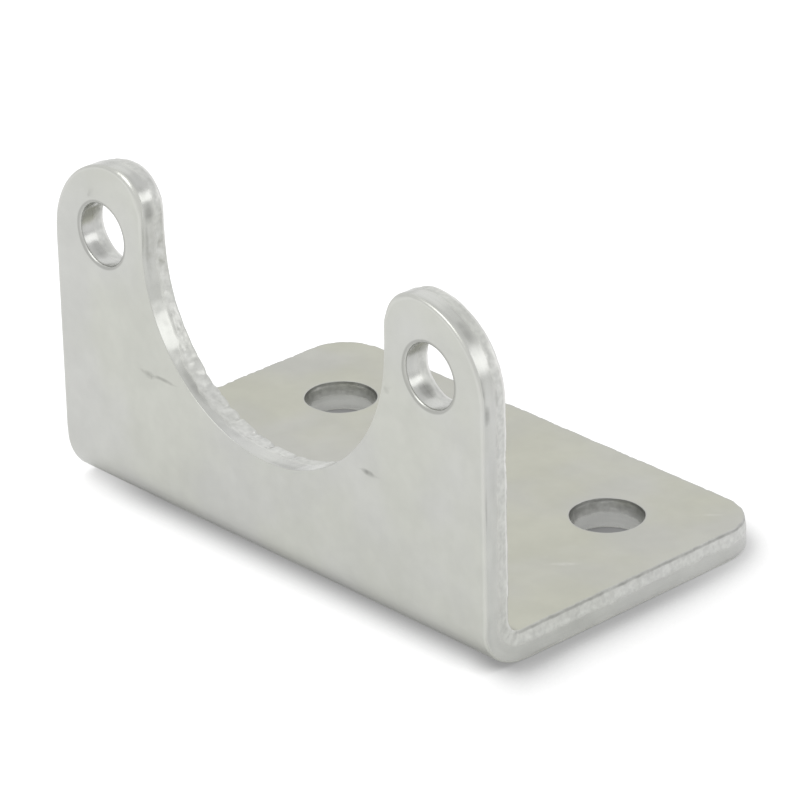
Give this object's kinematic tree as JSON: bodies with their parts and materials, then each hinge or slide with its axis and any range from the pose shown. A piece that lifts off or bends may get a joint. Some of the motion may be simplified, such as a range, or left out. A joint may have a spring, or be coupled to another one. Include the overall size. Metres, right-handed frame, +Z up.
{
  "type": "l-shaped mounting bracket",
  "caption": "Folded sheet-metal L bracket: a flat base with screw holes, and an upright whose round-bottomed cut leaves ears that carry pivot holes.",
  "frame": {"origin": "on the underside of the base, midway between the sides and midway between the upright's outer face and the base's back edge", "axes": "+X along the fold, +Y from the upright to the base's back edge, +Z up"},
  "size_m": [0.06, 0.038, 0.036],
  "materials": {
    "zinc_plated_steel": "satin bright zinc plating over steel sheet, with burnished and broken-out punched edges"
  },
  "bodies": {
    "root": {"bracket": "zinc_plated_steel"}
  },
  "joints": []
}
